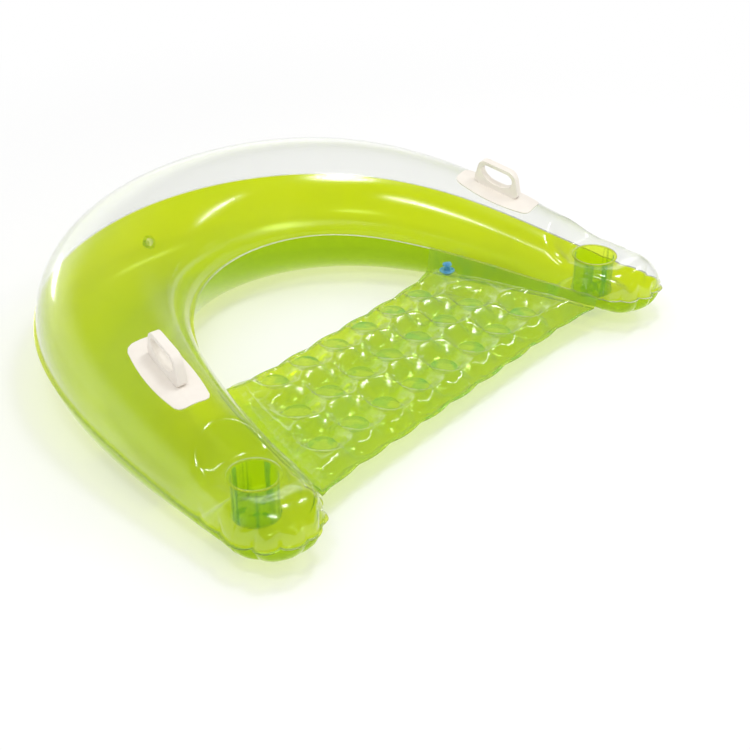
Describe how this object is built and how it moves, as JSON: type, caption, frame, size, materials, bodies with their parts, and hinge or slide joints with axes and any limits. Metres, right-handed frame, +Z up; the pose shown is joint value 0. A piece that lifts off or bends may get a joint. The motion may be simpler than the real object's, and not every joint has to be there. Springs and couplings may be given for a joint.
{
  "type": "inflatable pool chair",
  "caption": "Inflatable horseshoe pool chair with a quilted slung seat between its arms, cup wells, grab handles and push-in air valves.",
  "frame": {"origin": "centre of the chair's outline, on the surface that it rests on", "axes": "+X across the chair from arm to arm, +Y from the open front to the back, +Z up"},
  "size_m": [1.1982, 0.9991, 0.2824],
  "materials": {
    "green_vinyl": "tinted flexible vinyl, high gloss, see-through",
    "clear_vinyl": "clear flexible vinyl, high gloss, slightly milky",
    "cup_vinyl": "tinted flexible vinyl, high gloss",
    "handle_plastic": "moulded soft plastic, satin",
    "valve_plastic": "moulded soft plastic, translucent",
    "clear_plastic": "moulded soft plastic, clear"
  },
  "bodies": {
    "chair": {"tube_bottom_panel": "green_vinyl", "tube_top_panel": "clear_vinyl", "cup_sleeve_left": "cup_vinyl", "cup_sleeve_right": "cup_vinyl", "cup_floor_left": "cup_vinyl", "cup_floor_right": "cup_vinyl", "seat_joining_strip_left": "green_vinyl", "seat_joining_strip_right": "green_vinyl", "seat_top_sheet": "clear_vinyl", "seat_bottom_sheet": "green_vinyl", "grab_handle_left": "handle_plastic", "grab_handle_right": "handle_plastic", "seat_valve_flange": "valve_plastic", "tube_valve_flange": "clear_plastic"},
    "seat_stem": {"seat_valve_stem": "valve_plastic"},
    "seat_stopper": {"seat_valve_stopper": "valve_plastic"},
    "seat_flap": {"seat_valve_flap": "valve_plastic"},
    "tube_stem": {"tube_valve_stem": "clear_plastic"},
    "tube_stopper": {"tube_valve_stopper": "clear_plastic"},
    "tube_flap": {"tube_valve_flap": "clear_plastic"}
  },
  "joints": [
    {"name": "seat_valve_push", "type": "slide", "parent": "chair", "child": "seat_stem", "axis": [0, 0, 1], "range_m": [-0.0113, 0]},
    {"name": "seat_stopper_hinge", "type": "hinge", "parent": "seat_stem", "child": "seat_stopper", "pos_m": [0.28811, -0.122, 0.10384], "axis": [0, -1, 0], "range_deg": [0, 150]},
    {"name": "seat_flap_hinge", "type": "hinge", "parent": "seat_stem", "child": "seat_flap", "pos_m": [0.29101, -0.122, 0.08229], "axis": [0, 1, 0], "range_deg": [0, 60], "stiffness_Nm_per_rad": 0.0001, "springref_deg": -17.19},
    {"name": "tube_valve_push", "type": "slide", "parent": "chair", "child": "tube_stem", "axis": [0, 0.847, -0.5316], "range_m": [-0.0113, 0]},
    {"name": "tube_stopper_hinge", "type": "hinge", "parent": "tube_stem", "child": "tube_stopper", "pos_m": [-0.0085, 0.48686, 0.05783], "axis": [0, 0.5316, 0.847], "range_deg": [0, 150]},
    {"name": "tube_flap_hinge", "type": "hinge", "parent": "tube_stem", "child": "tube_flap", "pos_m": [-0.0056, 0.46861, 0.06929], "axis": [0, -0.5316, -0.847], "range_deg": [0, 60], "stiffness_Nm_per_rad": 0.0001, "springref_deg": -17.19}
  ]
}
